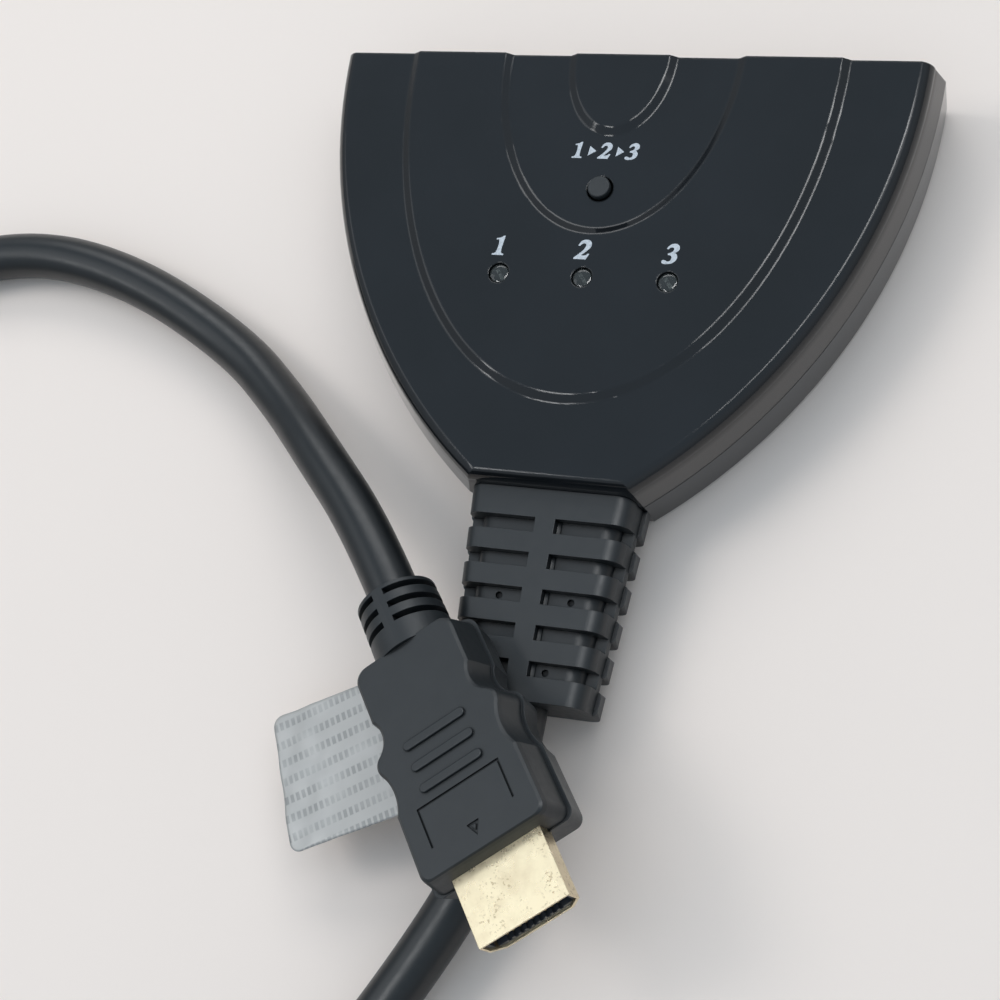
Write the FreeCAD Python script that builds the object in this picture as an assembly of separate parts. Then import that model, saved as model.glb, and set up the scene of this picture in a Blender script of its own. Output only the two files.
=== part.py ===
"""Three-way video switch with a captive pigtail lead, modelled in millimetres.

The fan-shaped housing lies flat. X runs across it, Y from the lead towards the three sockets,
and Z up from the table. The origin is on the table, under the middle of the housing and its strain relief.
"""
import FreeCAD, Part
import math
import os

Vec = FreeCAD.Vector

# Housing outline: each side is one arc, the back and the front are flat
housing_length = 66.0        # back face to front wall, at the parting plane
housing_height = 14.6        # table to the lower level of the top face
back_half_width = 42.9       # middle to the top face's edge, at the back face
front_half_width = 10.7      # and at the top face's front edge
side_radius = 82.3           # arc of the top face's edge
front_overhang = 1.8         # top face's front edge to the front wall
split_height = 8.9           # parting plane between the two covers
bevel_depth = 2.3            # rounded band round the top face
bevel_width = 1.7
bevel_middle = (0.35, 0.32)  # its middle, as shares of its width and depth
split_overhang = 2.75        # the covers are widest at the parting plane
base_overhang = 2.1
base_chamfer = 0.8
wall = 2.0
lip_height = 1.2             # tongue of the bottom cover inside the top cover
lip_clearance = 0.1

# Raised bands on the top face: half ellipses that run out at the back face
band_height = 0.76
band_flank = 1.2             # width of each sloping flank
band_round = 0.4             # at the foot and the head of a flank
outer_band = (33.2, 53.8)    # half width and length at the foot of the flank
inner_band = (17.05, 27.2)   # edge of the sunk field inside the outer band
centre_band = (8.2, 12.8)

# Board and sockets
board_thickness = 1.6
board_gap = 0.4              # board edge to the inside of the walls
board_drop = 0.35            # board under the sockets' shells
socket_pitch = 25.15
socket_opening = (14.0, 4.55)
socket_metal = 0.3
socket_length = 11.5
socket_recess = 0.3          # socket mouth behind the back face
socket_play = 0.3            # cut-out round a socket
socket_chamfer = 0.5
socket_foot = (2.4, 7.0)     # length of a foot, and its middle behind the mouth
foot_bite = 0.02             # foot inside the shell's side
socket_block = 3.0           # insulator that fills the shell's rear end
connector_cut = (0.125, 0.36)   # lower corners of a connector, as shares of width and height
tongue_size = (11.6, 1.7)    # width and thickness
tongue_recess = 1.2          # tongue's tip behind the mouth
contact_size = (0.35, 0.15, 5.5)
contact_pitch = 1.0
contact_start = 0.7          # contacts behind the tongue's tip
upper_contact_count = 10
lower_contact_count = 9

# Select button and tact switch
button_back = 21.1           # back face to the button
button_diameter = 3.3
button_hole = 3.9
button_proud = 0.9
button_edge = 0.25           # rounded edge of the cap
flange_diameter = 5.6
flange_thickness = 0.8
flange_play = 0.1            # flange to the cover above it
stem_size = (2.6, 1.3)       # diameter and length
button_travel = 0.3
tact_width = 6.0
tact_height = 3.4
tact_plate = 0.3
tact_floor = 1.6             # board to the floor of the plunger's bore
tact_leg = (0.9, 0.7, 0.4)
tact_leg_place = 2.25        # legs from the middle, along Y
plunger_diameter = 3.4
plunger_play = 0.05
plunger_lift = 0.15          # left under the plunger when it is pressed

# Lamps
lamp_back = 35.1
lamp_pitch = 12.5
lamp_diameter = 2.9
lamp_hole = 3.05
lamp_flange = (3.7, 0.7)
lamp_length = 4.6
lamp_sunk = 0.15             # dome below the raised face
lamp_tube = (1.2, 1.0, 0.1)  # wall, length and play of the tube round a lamp
lead_width = 0.5
lead_pitch = 2.54

# Screws under the base, mirrored to the other side
back_screw = (4.6, 14.0)     # in from the top face's side, and from the back face
front_screw = (8.5, 14.0)    # in from the top face's side, and from the front wall
screw_diameter = 2.5
screw_play = 0.04
screw_clearance = 0.4        # hole in the bottom cover and the board
screw_head = (4.4, 1.6)
screw_length = 7.4           # under the head
screw_cross = (2.4, 0.6, 0.7)
boss_diameter = 6.4
boss_skin = 0.8              # left above a screw's pilot hole
counterbore = (5.0, 2.6)
board_rest = (2.0, 6.0, 8.0)   # rib under the board: width, length, and middle from the back face

# Small parts on the board
switch_chip_size = (10.0, 1.3)
switch_chip_place = (-21.0, 28.0)   # across, and from the back face
chip_lift = 0.15
chip_lead = (1.0, 0.3, 0.2)
chip_lead_count = 12
chip_lead_pitch = 0.75
control_chip_size = (4.0, 5.0, 1.5)
control_lead = (0.9, 0.45, 0.3)
control_lead_count = 4       # on each side
control_lead_pitch = 1.27
crystal_size = (6.5, 3.6, 2.6)
crystal_round = 1.5
crystal_place = (20.0, 27.0)
capacitor_size = (2.0, 1.25, 1.2)
capacitor_columns = (8.5, 12.5)
capacitor_row = 5.2          # behind the sockets
chip_capacitors = (11.0, 2.0)   # beside the control chip, and either way from its middle
resistor_size = (1.0, 2.0, 0.5)
resistor_columns = (4.5, 7.0)
side_resistors = (4.5, 3.0)  # outside the lamps, and each one's step past them

# Segmented strain relief, moulded in two halves that meet on its axis
ring_pitch = 5.04
ring_width = 2.93
ring_count = 6
first_ring_length = 3.6
last_ring_extra = 0.5
relief_axis_height = 6.8
relief_half_height = 4.9
relief_half_width = 12.3     # upper half, at the housing
relief_taper = 0.073         # half width lost for each millimetre of length
shoulder_round = 2.4         # corners of a ring's section
side_draft = 0.25
mould_step = 0.55            # lower half wider than the upper
lower_ring_extra = 0.3       # lower rings longer than the upper, away from the housing
ring_corner = 0.8            # corners of the lower rings in plan
slot_depth = 1.8
slot_side = 1.5              # core narrower than the rings
rim_height = (1.0, 0.5)      # rim that joins the rings, above and below the parting line
spine_width = 2.93
pin_hole = 1.0
pin_hole_depth = 0.6
pin_ring_counts = (3, 5)     # rings between the housing and each pair of holes
pin_offsets = (5.25, 3.4)    # each hole of a pair, from the middle
seat_gap = 0.03
neck_size = (15.0, 9.0)
neck_root = 0.5              # neck inside the first ring
inner_flange = (19.0, 8.0, 2.0)
flange_gap = 1.0             # flange to the front wall, at the parting plane

# Lead
cord_diameter = 7.3
wire_diameter = 0.85
wire_count = 7
wire_circle = 2.6            # radius on which the cores leave the jacket
wire_gap = 0.5               # jacket to the cores
wire_slope = 3.0             # jacket to the cores' bend, along Y
wire_tail = 2.0
wire_lift = 0.02
wire_pad_pitch = 2.2
jacket_inside = 3.6          # jacket past the inner flange

# Plug: its nose face is at the plug's own origin
plug_nose = (6.3, -69.6, 20.9)
plug_yaw = 36.3
plug_pitch = 8.1
plug_roll = 9.2
plug_half_height = 5.2
nose_half_width = 11.0
cheek_half_width = 10.9
dip_half_width = 10.1        # front finger dip
hip_half_widths = (10.8, 11.1, 10.4)   # between the two dips: its start, middle and end
waist_half_width = 8.8       # rear finger dip
tail_half_width = 9.35
nose_length = 10.7           # nose face to the front dip
dip_length = 6.2
hip_length = 2.5
waist_length = 5.0
waist_middle = 0.4           # narrowest place, as a share of the rear dip's length
nose_round = 1.4
tail_round = 2.0
plug_length = 32.8
face_lean = 0.45             # lean of the nose and tail against the sides'
plug_step = 0.5              # upper half drawn in at the parting line
lower_levels = ((-1.0, 1.3), (-0.92, 0.8), (0.0, 0.0))   # share of the half height, and draw-in
upper_levels = ((0.0, plug_step), (0.8, 1.15), (0.94, 1.35), (1.0, 1.75))
plug_shell_size = (13.9, 4.45)
plug_shell_metal = 0.3
plug_shell_reach = 9.4
plug_shell_hidden = 6.0
insulator_play = 0.02
insulator_recess = 0.4
plug_slot_play = 0.25
plug_slot_length = 8.3
comb_notch = (0.55, 0.45, 1.1)   # over each contact at the slot's mouth: width, depth and length
inner_mould_size = (12.8, 6.0, 7.4)
mould_room = 0.1
plug_jacket_start = 18.0     # the lead's jacket, behind the nose
plug_wire_diameter = 0.65
plug_wire_pitch = 1.25
plug_wire_rise = (0.8, 2.0)  # each row from the middle, at the inner mould and at the jacket
plug_wire_gap = 0.3          # cores to the inner mould and to the jacket
bar_size = (8.6, 1.3, 0.45)  # raised bars: between end centres, width and height
bar_count = 3
bar_edge = 0.2
bar_start = 1.3              # first bar behind the front dip's start
bar_pitch = 3.2
panel_half_width = 6.4
panel_reach = (4.3, 9.9)     # panel's open end and its line, behind the nose
groove_size = (0.3, 0.25)    # width and depth
pointer_size = (1.9, 1.9)    # engraved triangle: width and length
pointer_tip = 2.5
pointer_inner = 0.35         # its inner triangle, as a share
collar_diameters = (11.8, 11.4)
collar_length = 8.4
collar_overlap = 1.0         # collar inside the grip
collar_slot_count = 3
collar_slot_pitch = 2.25
collar_slot = 0.95
first_collar_slot = 1.0      # slot's middle to the collar's end
collar_skin = 0.45           # left over the lead in a slot
collar_spine = 1.7
seal_size = (20.3, 23.5)
seal_thickness = 0.2
seal_lift = 0.02
seal_corner = 1.6
seal_middle = (-17.6, 27.4)  # across the plug and behind its nose
seal_turn = -13.0

# Overruns of the shapes that are joined or cut
bite = 0.3                   # joined pieces reach into each other
past = 1.0                   # overrun of a cutting tool

# Heights and places that follow from the sizes above
relief_length = ring_pitch * (ring_count - 1) + first_ring_length + last_ring_extra
back_y = (housing_length + relief_length) / 2
front_y = back_y - housing_length
relief_end_y = front_y - relief_length
board_top = split_height - socket_opening[1] / 2 - socket_metal - board_drop
board_bottom = board_top - board_thickness
ceiling = housing_height - wall
flange_start = front_y + wall + flange_gap
jacket_end_y = flange_start + inner_flange[2] + jacket_inside
wire_pads_y = jacket_end_y + wire_slope + wire_tail
button_flange_low = ceiling - flange_play - flange_thickness
plunger_top = button_flange_low - stem_size[1]
lamp_places = (-lamp_pitch, 0.0, lamp_pitch)
plug_end = plug_length + collar_length


def from_back(distance):
    """Y of a place that lies this far from the back face."""
    return back_y - distance


def box(size_x, size_y, size_z, x, y, z):
    """Box centred on x and y, standing on z."""
    return Part.makeBox(size_x, size_y, size_z, Vec(x - size_x / 2, y - size_y / 2, z))


def slab(low, high):
    """Everything between two heights, wider than the housing."""
    span = 4 * side_radius
    return box(span, span, high - low, 0, 0, low)


def cylinder(diameter, height, x, y, z):
    return Part.makeCylinder(diameter / 2, height, Vec(x, y, z))


def rod(diameter, length, y, z=0.0):
    """Cylinder along Y that starts at y."""
    return Part.makeCylinder(diameter / 2, length, Vec(0, y, z), Vec(0, 1, 0))


def fuse_all(shapes):
    return shapes[0].multiFuse(shapes[1:]).removeSplitter()


def polygon_face(points):
    return Part.Face(Part.makePolygon(points + points[:1]))


def upright_edges(shape, least):
    """Edges that rise by more than this."""
    return [edge for edge in shape.Edges if edge.BoundBox.ZLength > least]


def top_edges(shape):
    """Level edges at the top of a shape."""
    top = max(vertex.Z for vertex in shape.Vertexes)
    return [edge for edge in shape.Edges if all(abs(vertex.Z - top) < 1e-4 for vertex in edge.Vertexes)]


def save(name, shape):
    """Write one node's solids and print its size."""
    solids = shape.Solids
    if not solids or not all(solid.isValid() for solid in solids):
        raise ValueError("bad solid in " + name)
    result = solids[0] if len(solids) == 1 else Part.makeCompound(solids)
    result.exportStep(os.path.join("parts", name + ".step"))
    box_of = result.BoundBox
    print(f"{name:24s} {len(solids):3d} solids  z {box_of.ZMin:7.2f} to {box_of.ZMax:7.2f}")


def side_centre():
    """Centre of the right side's arc, which meets the top face's back and front corners."""
    across = back_half_width - front_half_width
    along = housing_length - front_overhang
    chord = math.hypot(across, along)
    depth = math.sqrt(side_radius ** 2 - chord ** 2 / 4)
    middle_x = (back_half_width + front_half_width) / 2
    middle_y = from_back(along / 2)
    return middle_x - depth * along / chord, middle_y + depth * across / chord


def top_half_width(distance):
    """Half width of the top face at this distance from the back face."""
    centre_x, centre_y = side_centre()
    return centre_x + math.sqrt(side_radius ** 2 - (from_back(distance) - centre_y) ** 2)


def side_profile(inset, low, high):
    """Half section of one side as (overhang, height): its straight points, and its bevel's three."""
    base = base_overhang - inset
    straight = [(base, low)]
    if inset == 0:
        straight = [(base - base_chamfer, low), (base, low + base_chamfer)]
    straight.append((split_overhang - inset, split_height))
    shoulder = bevel_width - inset
    middle = (shoulder - bevel_middle[0] * bevel_width, high - bevel_middle[1] * bevel_depth)
    return straight, [(shoulder, high - bevel_depth), middle, (-inset, high)]


def profile_wire(profile, place, far):
    """Closed wire through a side profile and out to the flat side at far."""
    straight, bevel = profile
    lower = [place(far, straight[0][1])] + [place(*point) for point in straight + bevel[:1]]
    arc = [place(*point) for point in bevel]
    closing = [arc[2], place(far, bevel[2][1]), lower[0]]
    edges = [Part.makeLine(a, b) for a, b in zip(lower, lower[1:])]
    edges.append(Part.Arc(*arc).toShape())
    edges += [Part.makeLine(a, b) for a, b in zip(closing, closing[1:])]
    return Part.Wire(edges)


def housing_form(inset, low=0.0, high=housing_height):
    """The housing's closed outer form, or the same form drawn in by inset on every side."""
    centre_x, centre_y = side_centre()
    front_share = front_overhang / split_overhang
    front_edge = housing_length - front_overhang

    def on_side(overhang, height):
        return Vec(centre_x + side_radius + overhang, centre_y, height)

    def on_front(overhang, height):
        return Vec(-2 * side_radius, from_back(front_edge + overhang * front_share), height)

    wire = profile_wire(side_profile(inset, low, high), on_side, -side_radius)
    right = Part.Face(wire).revolve(Vec(centre_x, centre_y, 0), Vec(0, 0, 1), 360)
    left = right.mirror(Vec(0, 0, 0), Vec(1, 0, 0))
    back_reach = (inset - front_edge) / front_share
    front_wire = profile_wire(side_profile(inset / front_share, low, high), on_front, back_reach)
    along = Part.Face(front_wire).extrude(Vec(4 * side_radius, 0, 0))
    return right.common(left).common(along)


def band(half_width, length, outward):
    """A raised half ellipse on the top face, its flank sloping in, or out for a sunk field."""
    change = band_flank if outward else -band_flank
    wires = []
    for rise, growth in ((0.0, 0.0), (band_height, change)):
        z = housing_height + rise
        front_tip = Vec(0, back_y - length - growth, z)
        side_tip = Vec(half_width + growth, back_y, z)
        wires.append(Part.Wire(Part.Ellipse(front_tip, side_tip, Vec(0, back_y, z)).toShape()))
    form = Part.makeLoft(wires, True, True)
    front_half = box(4 * half_width, 2 * length, 4 * band_height, 0, back_y - length, housing_height)
    return form.common(front_half)


def band_edges(cover):
    """Elliptic edges at the foot and the head of the raised bands' flanks."""
    edges = []
    for edge in cover.Edges:
        level = edge.BoundBox.ZLength < 1e-3 and edge.BoundBox.ZMin > housing_height - 1e-3
        if level and not isinstance(edge.Curve, (Part.Line, Part.Circle)):
            edges.append(edge)
    return edges


def socket_places():
    return [(n - 1) * socket_pitch for n in range(3)]


def screw_points():
    """Both screws of each pair, in from the sides of the top face."""
    places = (back_screw, (front_screw[0], housing_length - front_screw[1]))
    points = [(top_half_width(back) - inward, from_back(back)) for inward, back in places]
    return [(side * x, y) for x, y in points for side in (-1, 1)]


def back_cutouts():
    """Windows and room for the sockets, each window with a shallow chamfer outside."""
    width, height = (size + 2 * (socket_metal + socket_play) for size in socket_opening)
    reach = socket_recess + socket_length
    cuts = []
    for x in socket_places():
        cuts.append(box(width, 2 * reach, height, x, back_y, split_height - height / 2))
        rim = []
        for grow, y in ((socket_chamfer, back_y + 0.01), (0.0, back_y - socket_chamfer)):
            half_x = width / 2 + grow
            half_z = height / 2 + grow
            corners = [(-half_x, -half_z), (half_x, -half_z), (half_x, half_z), (-half_x, half_z)]
            ring = [Vec(x + dx, y, split_height + dz) for dx, dz in corners]
            rim.append(Part.makePolygon(ring + ring[:1]))
        cuts.append(Part.makeLoft(rim, True, True))
    return cuts


def front_cutout():
    """Opening in the front wall for the strain relief's neck."""
    width, height = (size + 2 * lip_clearance for size in neck_size)
    return box(width, 3 * wall, height, 0, front_y, relief_axis_height - height / 2)


def make_top_cover():
    """Upper cover with its raised bands, screw bosses and lamp tubes."""
    shell = housing_form(0).cut(housing_form(wall, -past, ceiling))
    shell = shell.common(slab(split_height, 2 * housing_height))
    groove = housing_form(wall / 2 - lip_clearance, -past)
    shell = shell.cut(groove.common(slab(split_height, split_height + lip_height + lip_clearance)))
    raised = band(*outer_band, False).cut(band(*inner_band, True)).fuse(band(*centre_band, False))
    solids = [shell] + raised.Solids
    for x, y in screw_points():
        solids.append(cylinder(boss_diameter, ceiling + bite - board_top, x, y, board_top))
    tube_wall, tube_length, tube_play = lamp_tube
    tube_inside = lamp_flange[0] + 2 * tube_play
    for x in lamp_places:
        low = ceiling - tube_length
        tube = cylinder(tube_inside + 2 * tube_wall, tube_length + bite, x, from_back(lamp_back), low)
        room = cylinder(tube_inside, tube_length + past, x, from_back(lamp_back), low - past)
        solids.append(tube.cut(room))
    cover = fuse_all(solids)
    cover = cover.makeFillet(band_round, band_edges(cover))
    cuts = back_cutouts() + [front_cutout()]
    through = housing_height + band_height - ceiling + 2 * past
    for x in lamp_places:
        cuts.append(cylinder(lamp_hole, through, x, from_back(lamp_back), ceiling - bite))
    cuts.append(cylinder(button_hole, through, 0, from_back(button_back), ceiling - bite))
    pilot_depth = ceiling - boss_skin - board_top
    for x, y in screw_points():
        cuts.append(cylinder(screw_diameter + 2 * screw_play, pilot_depth + past, x, y, board_top - past))
    return cover.cut(Part.makeCompound(cuts))


def make_bottom_cover():
    """Lower cover with its tongue, the screws' bosses and ribs under the board."""
    cavity = housing_form(wall, wall)
    shell = housing_form(0).cut(cavity).common(slab(-past, split_height))
    lip = housing_form(wall / 2, wall).cut(cavity)
    lip = lip.common(slab(split_height - bite, split_height + lip_height))
    solids = [shell, lip]
    rise = board_bottom - wall + bite
    for x, y in screw_points():
        solids.append(cylinder(boss_diameter, rise, x, y, wall - bite))
    for x in socket_places():
        solids.append(box(board_rest[0], board_rest[1], rise, x, from_back(board_rest[2]), wall - bite))
    cover = fuse_all(solids)
    cuts = back_cutouts() + [front_cutout()]
    for x, y in screw_points():
        cuts.append(cylinder(screw_diameter + screw_clearance, board_bottom + 2 * past, x, y, -past))
        cuts.append(cylinder(counterbore[0], counterbore[1] + past, x, y, -past))
    return cover.cut(Part.makeCompound(cuts))


def make_board():
    """Board that follows the housing, with holes for the screws and a notch round the lead's end."""
    board = housing_form(wall + board_gap).common(slab(board_bottom, board_top))
    notch_reach = jacket_end_y + board_gap - front_y
    notch = box(inner_flange[0] + 2 * board_gap, 2 * notch_reach, 2 * housing_height, 0, front_y, 0)
    hole = screw_diameter + screw_clearance
    holes = [cylinder(hole, housing_height, x, y, 0) for x, y in screw_points()]
    return board.cut(Part.makeCompound([notch] + holes))


def connector_section(width, height, inset, y, centre_x=0.0, centre_z=0.0):
    """Face of a connector's section: wide above, with both lower corners cut away."""
    half = width / 2 - inset
    top = height / 2 - inset
    cut_x = connector_cut[0] * width
    cut_z = connector_cut[1] * height
    points = [(-half, top), (half, top), (half, cut_z - top), (half - cut_x, -top)]
    points += [(-half + cut_x, -top), (-half, cut_z - top)]
    return polygon_face([Vec(centre_x + px, y, centre_z + pz) for px, pz in points])


def connector_prism(width, height, inset, y, length, centre_x=0.0, centre_z=0.0):
    """Connector's section carried towards minus Y from y."""
    return connector_section(width, height, inset, y, centre_x, centre_z).extrude(Vec(0, -length, 0))


def socket_shell_size():
    return [size + 2 * socket_metal for size in socket_opening]


def socket_shell(x):
    """Folded metal shell of one socket, with two feet on the board."""
    width, height = socket_shell_size()
    mouth = from_back(socket_recess)
    outer = connector_prism(width, height, 0, mouth, socket_length, x, split_height)
    room_length = socket_length + 2 * past
    inner = connector_prism(width, height, socket_metal, mouth + past, room_length, x, split_height)
    pieces = [outer.cut(inner)]
    foot_length, foot_middle = socket_foot
    foot_x = (width + socket_metal) / 2 - foot_bite
    foot_height = split_height - board_top
    for side in (-1, 1):
        foot = box(socket_metal, foot_length, foot_height, x + side * foot_x, mouth - foot_middle, board_top)
        pieces.append(foot)
    return fuse_all(pieces)


def socket_insulator(x):
    """Rear block that fills the shell, with the tongue that carries the contacts."""
    width, height = socket_shell_size()
    rear = from_back(socket_recess + socket_length)
    block = connector_prism(width, height, socket_metal, rear + socket_block, socket_block, x, split_height)
    tongue_length = socket_length - tongue_recess
    tongue = box(tongue_size[0], tongue_length, tongue_size[1], x, rear + tongue_length / 2,
                 split_height - tongue_size[1] / 2)
    return fuse_all([block, tongue])


def contact_strips(x, y, thickness, centre_z, outward):
    """Strips on both faces of a tongue, or inside both faces of a slot."""
    strip_width, strip_thickness, strip_length = contact_size
    above = centre_z + thickness / 2 - (0 if outward else strip_thickness)
    below = centre_z - thickness / 2 - (strip_thickness if outward else 0)
    strips = []
    for count, z in ((upper_contact_count, above), (lower_contact_count, below)):
        for n in range(count):
            across = x + (n - (count - 1) / 2) * contact_pitch
            strips.append(box(strip_width, strip_length, strip_thickness, across, y, z))
    return Part.makeCompound(strips)


def make_tact_switch():
    """Body, cover plate and legs of the tact switch, and its plunger."""
    y = from_back(button_back)
    body_height = tact_height - tact_plate
    bore = plunger_diameter + 2 * plunger_play
    room = cylinder(bore, tact_height, 0, y, board_top + tact_floor)
    body = box(tact_width, tact_width, body_height, 0, y, board_top).cut(room)
    plate = box(tact_width, tact_width, tact_plate, 0, y, board_top + body_height).cut(room)
    legs = []
    for side_x in (-1, 1):
        for side_y in (-1, 1):
            leg_x = side_x * (tact_width + tact_leg[0]) / 2
            legs.append(box(*tact_leg, leg_x, y + side_y * tact_leg_place, board_top))
    plunger_low = board_top + tact_floor + button_travel + plunger_lift
    plunger = cylinder(plunger_diameter, plunger_top - plunger_low, 0, y, plunger_low)
    return body, plate, Part.makeCompound(legs), plunger


def make_button():
    """Cap with a flange under the cover and a stem that stands on the plunger."""
    y = from_back(button_back)
    cap = cylinder(button_diameter, housing_height + button_proud - button_flange_low, 0, y, button_flange_low)
    cap = cap.makeFillet(button_edge, top_edges(cap))
    flange = cylinder(flange_diameter, flange_thickness, 0, y, button_flange_low)
    stem = cylinder(stem_size[0], stem_size[1] + bite, 0, y, plunger_top)
    return fuse_all([cap, flange, stem])


def make_lamp(x):
    """Round lamp with a domed head and a flange, and its two legs."""
    y = from_back(lamp_back)
    radius = lamp_diameter / 2
    top = housing_height + band_height - lamp_sunk
    low = top - lamp_length
    barrel = cylinder(lamp_diameter, lamp_length - radius, x, y, low)
    dome = Part.makeSphere(radius, Vec(x, y, top - radius))
    lamp = fuse_all([barrel, dome, cylinder(*lamp_flange, x, y, low)])
    legs = []
    for side in (-1, 1):
        legs.append(box(lead_width, lead_width, low - board_top, x + side * lead_pitch / 2, y, board_top))
    return lamp, legs


def make_screw(x, y):
    """Pan-head screw from below, with a cross recess."""
    head_top = counterbore[1]
    head_low = head_top - screw_head[1]
    head = cylinder(*screw_head, x, y, head_low)
    shank = cylinder(screw_diameter, screw_length + bite, x, y, head_top - bite)
    long_way, short_way, depth = screw_cross
    cross = box(long_way, short_way, depth, x, y, head_low)
    cross = cross.fuse(box(short_way, long_way, depth, x, y, head_low))
    return fuse_all([head, shank]).cut(cross)


def make_switch_chip():
    """Large switching chip and its leads on four sides."""
    x = switch_chip_place[0]
    y = from_back(switch_chip_place[1])
    size, thickness = switch_chip_size
    lead_length, width, lead_thickness = chip_lead
    body = box(size, size, thickness, x, y, board_top + chip_lift)
    reach = (size + lead_length) / 2
    leads = []
    for n in range(chip_lead_count):
        offset = (n - (chip_lead_count - 1) / 2) * chip_lead_pitch
        for side in (-1, 1):
            leads.append(box(width, lead_length, lead_thickness, x + offset, y + side * reach, board_top))
            leads.append(box(lead_length, width, lead_thickness, x + side * reach, y + offset, board_top))
    return body, Part.makeCompound(leads)


def control_chip_y():
    """Half way between the lamps and the lead's pads."""
    return (wire_pads_y + from_back(lamp_back)) / 2


def make_control_chip():
    """Small controller with its leads, one solid each."""
    y = control_chip_y()
    reach = (control_chip_size[0] + control_lead[0]) / 2
    pieces = [box(*control_chip_size, 0, y, board_top)]
    for n in range(control_lead_count):
        offset = (n - (control_lead_count - 1) / 2) * control_lead_pitch
        for side in (-1, 1):
            pieces.append(box(*control_lead, side * reach, y + offset, board_top))
    return Part.makeCompound(pieces)


def on_both_sides(places, size):
    """Small parts of one size at (x, y) places on the board, mirrored to the other side."""
    return Part.makeCompound([box(*size, side * x, y, board_top) for side in (-1, 1) for x, y in places])


def make_capacitors():
    """Two a side behind the sockets, and two a side beside the controller."""
    row_y = from_back(socket_recess + socket_length + capacitor_row)
    places = [(x, row_y) for x in capacitor_columns]
    places += [(chip_capacitors[0], control_chip_y() + way * chip_capacitors[1]) for way in (-1, 1)]
    return on_both_sides(places, capacitor_size)


def make_resistors():
    """Two a side between the button and the lamps, and two outside the lamps."""
    row_y = (from_back(button_back) + from_back(lamp_back)) / 2
    places = [(x, row_y) for x in resistor_columns]
    beside, step = side_resistors
    places += [(lamp_pitch + beside, from_back(lamp_back + n * step)) for n in (1, 2)]
    return on_both_sides(places, resistor_size)


def make_crystal():
    can = box(*crystal_size, crystal_place[0], from_back(crystal_place[1]), board_top)
    return can.makeFillet(crystal_round, upright_edges(can, crystal_size[2] / 2))


def relief_width_at(y):
    """Half width of the upper rings at this place."""
    return relief_half_width - relief_taper * (front_y - y)


def half_section(half_width, half_height, y, up):
    """Section of one half of the strain relief: flat outside, round shoulders, leaning sides."""
    side = half_width - side_draft
    sag = shoulder_round * (1 - math.sqrt(0.5))
    points = [(half_width, 0.0), (side, half_height - shoulder_round)]
    points += [(side - sag, half_height - sag), (side - shoulder_round, half_height)]
    right, left = ([Vec(way * x, y, relief_axis_height + up * z) for x, z in points] for way in (1, -1))
    edges = [Part.makeLine(right[0], right[1]), Part.Arc(right[1], right[2], right[3]).toShape()]
    edges += [Part.makeLine(right[3], left[3]), Part.Arc(left[3], left[2], left[1]).toShape()]
    edges += [Part.makeLine(left[1], left[0]), Part.makeLine(left[0], right[0])]
    return Part.Wire(edges)


def relief_half(start, end, inset, depth, up):
    """One half of the relief between two places, its sides drawn in and its face sunk."""
    sections = []
    for y in (start, end):
        sections.append(half_section(relief_width_at(y) - inset, relief_half_height - depth, y, up))
    return Part.makeLoft(sections, True, True)


def lower_ring_plan(start, end):
    """Upright prism over one lower ring, its corners rounded."""
    near, far = (relief_width_at(y) + mould_step for y in (start, end))
    corners = [Vec(near, start, 0), Vec(-near, start, 0), Vec(-far, end, 0), Vec(far, end, 0)]
    prism = polygon_face(corners).extrude(Vec(0, 0, relief_axis_height))
    return prism.makeFillet(ring_corner, upright_edges(prism, relief_axis_height / 2))


def ring_spans():
    """Start and end of each ring, from the housing outwards."""
    first_end = front_y - first_ring_length
    spans = [(front_y + front_overhang, first_end)]
    for n in range(1, ring_count):
        end = first_end - n * ring_pitch
        spans.append((end + ring_width, relief_end_y if n == ring_count - 1 else end))
    return spans


def relief_grip():
    """Rings on a sunk core with a spine above and below, and a rim along the parting line."""
    spans = ring_spans()
    start = spans[0][0]
    core_end = relief_end_y + ring_width / 2
    spine = box(spine_width, start - core_end, 2 * relief_half_height, 0, (start + core_end) / 2,
                relief_axis_height - relief_half_height)
    core = relief_half(start, core_end, slot_side, slot_depth, 1).fuse(spine)
    slots = []
    for (_, before), (after, _) in zip(spans, spans[1:]):
        slots.append(box(4 * relief_half_width, before - after, relief_half_height, 0, (before + after) / 2,
                         relief_axis_height + rim_height[0]))
    upper = relief_half(start, relief_end_y, 0.0, 0.0, 1).cut(Part.makeCompound(slots).cut(core))
    rim = relief_half(start, core_end, 0.0, 0.0, -1)
    rim = rim.common(slab(relief_axis_height - rim_height[1], relief_axis_height))
    lower_form = relief_half(start, relief_end_y, -mould_step, 0.0, -1)
    pieces = [upper, spine, rim, relief_half(start, core_end, slot_side, slot_depth, -1)]
    for near, far in spans:
        pieces.append(lower_form.common(lower_ring_plan(near, max(far - lower_ring_extra, relief_end_y))))
    return fuse_all(pieces)


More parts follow.
